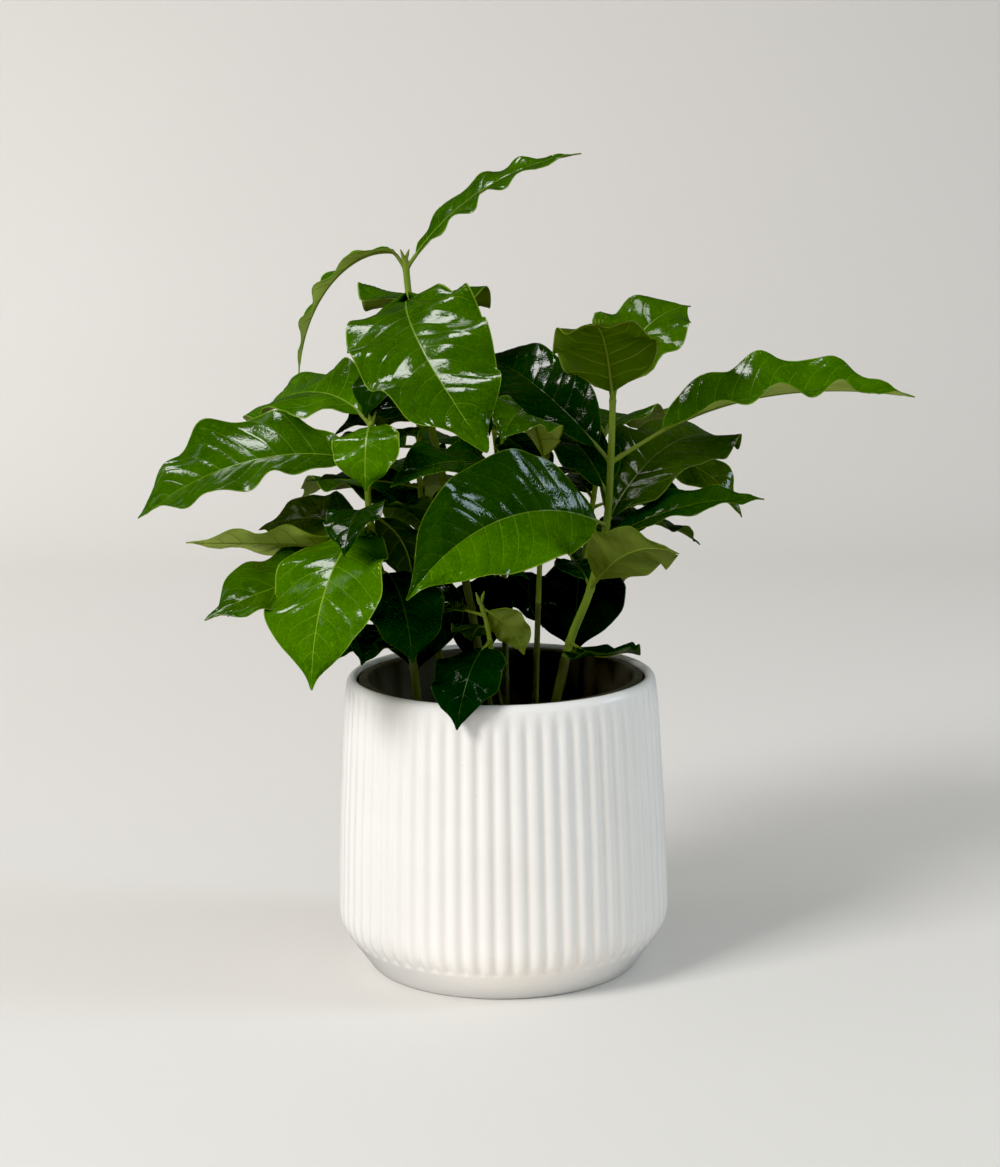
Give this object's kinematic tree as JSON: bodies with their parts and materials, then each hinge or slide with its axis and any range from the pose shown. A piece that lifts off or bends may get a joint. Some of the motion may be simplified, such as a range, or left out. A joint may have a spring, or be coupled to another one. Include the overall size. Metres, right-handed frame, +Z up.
{
  "type": "potted coffee plant",
  "caption": "Young coffee seedlings with large glossy wavy leaves, in a plain nursery pot inside a fluted white planter.",
  "frame": {"origin": "centre of the planter's flat underside", "axes": "+Z up along the planter's axis, +X to the right and +Y away from the side with the leaf that hangs over the rim"},
  "size_m": [0.3217, 0.2188, 0.338],
  "materials": {
    "white_glaze": "satin white glaze",
    "black_plastic": "satin black",
    "potting_soil": "moist dark peat",
    "green_stem": "smooth green bark",
    "glossy_leaf": "glossy deep green"
  },
  "bodies": {
    "root": {"pot": "white_glaze", "nursery_pot": "black_plastic", "soil": "potting_soil", "tall_stem": "green_stem", "left_stem": "green_stem", "right_stem": "green_stem", "middle_stem": "green_stem", "front_stem": "green_stem", "back_left_stem": "green_stem", "back_right_stem": "green_stem", "back_stem": "green_stem", "tall_foliage": "glossy_leaf", "left_foliage": "glossy_leaf", "right_foliage": "glossy_leaf", "middle_foliage": "glossy_leaf", "front_foliage": "glossy_leaf", "back_left_foliage": "glossy_leaf", "back_right_foliage": "glossy_leaf", "back_foliage": "glossy_leaf"}
  },
  "joints": []
}
